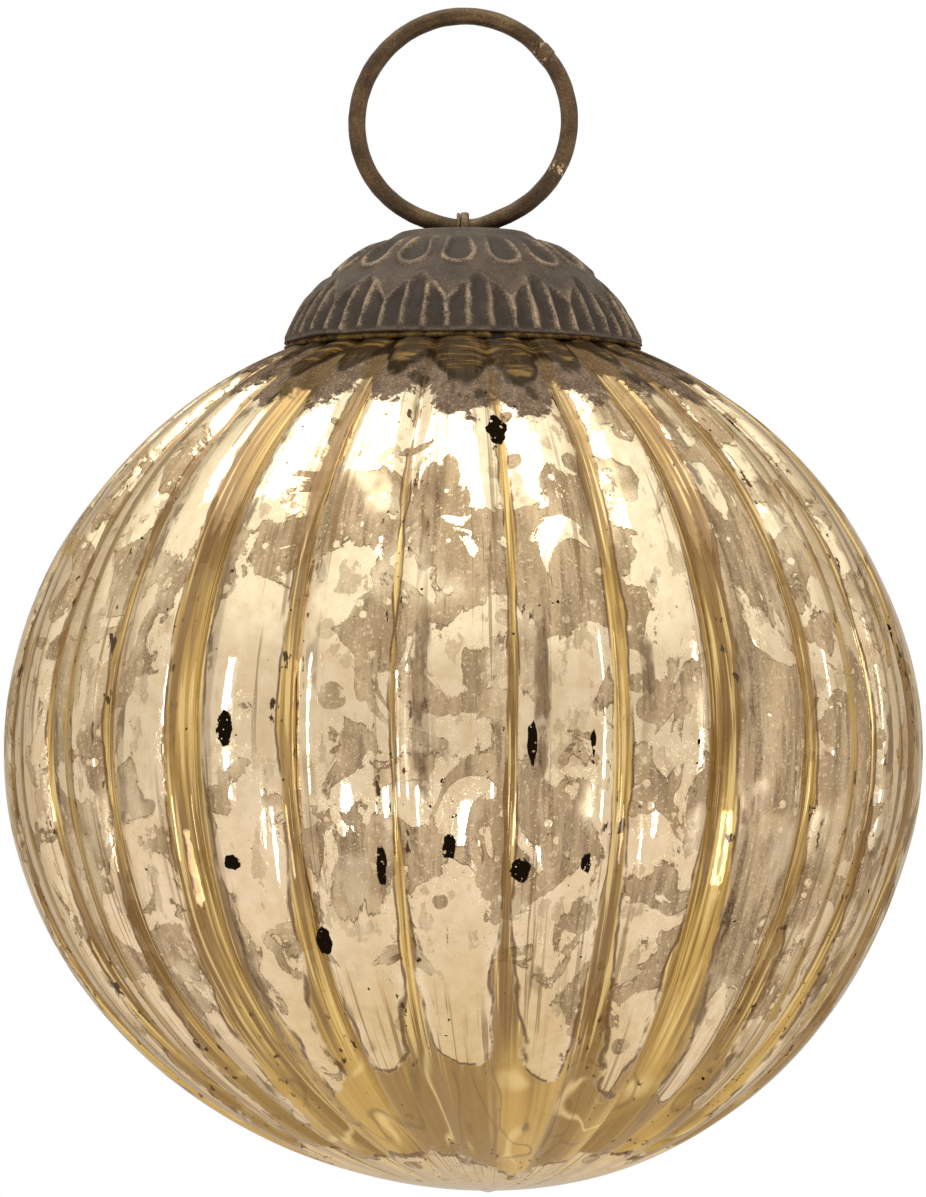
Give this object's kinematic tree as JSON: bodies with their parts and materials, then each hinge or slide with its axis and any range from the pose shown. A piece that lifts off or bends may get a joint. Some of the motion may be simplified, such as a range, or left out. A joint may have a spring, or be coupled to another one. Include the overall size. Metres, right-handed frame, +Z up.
{
  "type": "hanging glass ball ornament",
  "caption": "Ribbed, silvered glass ball with an embossed metal cap, hanging from a wire ring through a swivelling pin.",
  "frame": {"origin": "hanging point: the inside of the ring's top, where a hook or branch bears", "axes": "+Z up along the ornament's axis of symmetry, from the ball's bottom to the ring; the ring lies in the XZ plane and its wire runs along X where the pin holds it; +Y points away from the front view"},
  "size_m": [0.076, 0.076, 0.098],
  "materials": {
    "aged_brass_wire": "satin",
    "braze_metal": "satin",
    "aged_brass_pin": "satin",
    "aged_cap_metal": "matte",
    "cap_cement": "matte",
    "ball_glass": "gloss",
    "silvering": "mirror"
  },
  "bodies": {
    "ring": {"hanging_ring": "aged_brass_wire", "ring_braze": "braze_metal"},
    "hanger": {"hanger_pin": "aged_brass_pin"},
    "ornament": {"cap_shell": "aged_cap_metal", "cap_cement": "cap_cement", "glass_ball": "ball_glass", "silver_lining": "silvering"}
  },
  "joints": [
    {"name": "ring_swing", "type": "hinge", "parent": "ring", "child": "hanger", "pos_m": [0, 0, -0.01695], "axis": [1, 0, 0], "range_deg": [-68, 68]},
    {"name": "hanger_swivel", "type": "hinge", "parent": "hanger", "child": "ornament", "pos_m": [0, 0, -0.018], "axis": [0, 0, 1], "continuous": true}
  ]
}
